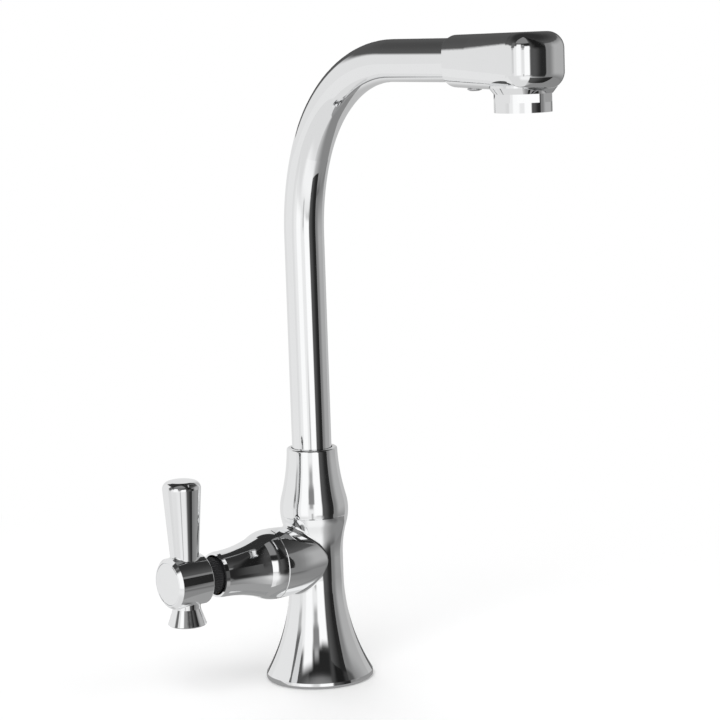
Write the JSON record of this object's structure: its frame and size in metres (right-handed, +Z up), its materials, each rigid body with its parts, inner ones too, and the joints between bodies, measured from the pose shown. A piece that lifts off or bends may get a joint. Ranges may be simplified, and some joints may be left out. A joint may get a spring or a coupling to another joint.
{
  "type": "bar tap",
  "caption": "Single-supply chrome bar tap: trumpet base, side lever valve, tall bent swivel spout and a cast nozzle with aerator.",
  "frame": {"origin": "centre of the base's underside, on the deck", "axes": "+Z up the pillar; -Y along the spout at rest; -X along the valve branch to the lever"},
  "size_m": [0.1113, 0.2063, 0.3652],
  "materials": {
    "chrome": "polished chrome plate",
    "rubber": "black nitrile rubber",
    "brass": "turned brass",
    "steel": "stainless steel",
    "nylon": "natural nylon",
    "fibre": "red fibre",
    "ceramic": "lapped alumina",
    "insert": "moulded grey plastic"
  },
  "bodies": {
    "root": {"body_casting": "chrome", "base_gasket": "rubber", "mounting_shank": "brass", "rubber_washer": "rubber", "steel_washer": "steel", "lock_nut": "brass", "spout_collar": "chrome", "guide_bush": "nylon", "lower_thrust_ring": "nylon", "upper_thrust_ring": "nylon", "bonnet_cover": "chrome", "cartridge_body": "brass", "cartridge_gasket": "fibre", "seat_seal": "rubber", "fixed_disc": "ceramic", "slip_washer": "nylon"},
    "handle": {"handle": "chrome", "end_cap": "chrome", "handle_screw": "steel", "ribbed_adaptor": "brass", "spindle": "brass", "inner_stem_seal": "rubber", "outer_stem_seal": "rubber", "spindle_clip": "steel", "moving_disc": "ceramic"},
    "spout": {"spout_tube": "chrome", "spout_ferrule": "brass", "lower_spout_seal": "rubber", "upper_spout_seal": "rubber", "nozzle_block": "chrome", "nozzle_screw": "steel", "tube_end_seal": "rubber", "aerator_housing": "chrome", "aerator_insert": "insert", "aerator_screen": "steel", "aerator_washer": "rubber"}
  },
  "joints": [
    {"name": "spout_swivel", "type": "hinge", "parent": "root", "child": "spout", "pos_m": [0, 0, 0.0817], "axis": [0, 0, 1], "continuous": true},
    {"name": "handle_turn", "type": "hinge", "parent": "root", "child": "handle", "pos_m": [0, 0, 0.0602], "axis": [1, 0, 0], "range_deg": [0, 90]}
  ]
}
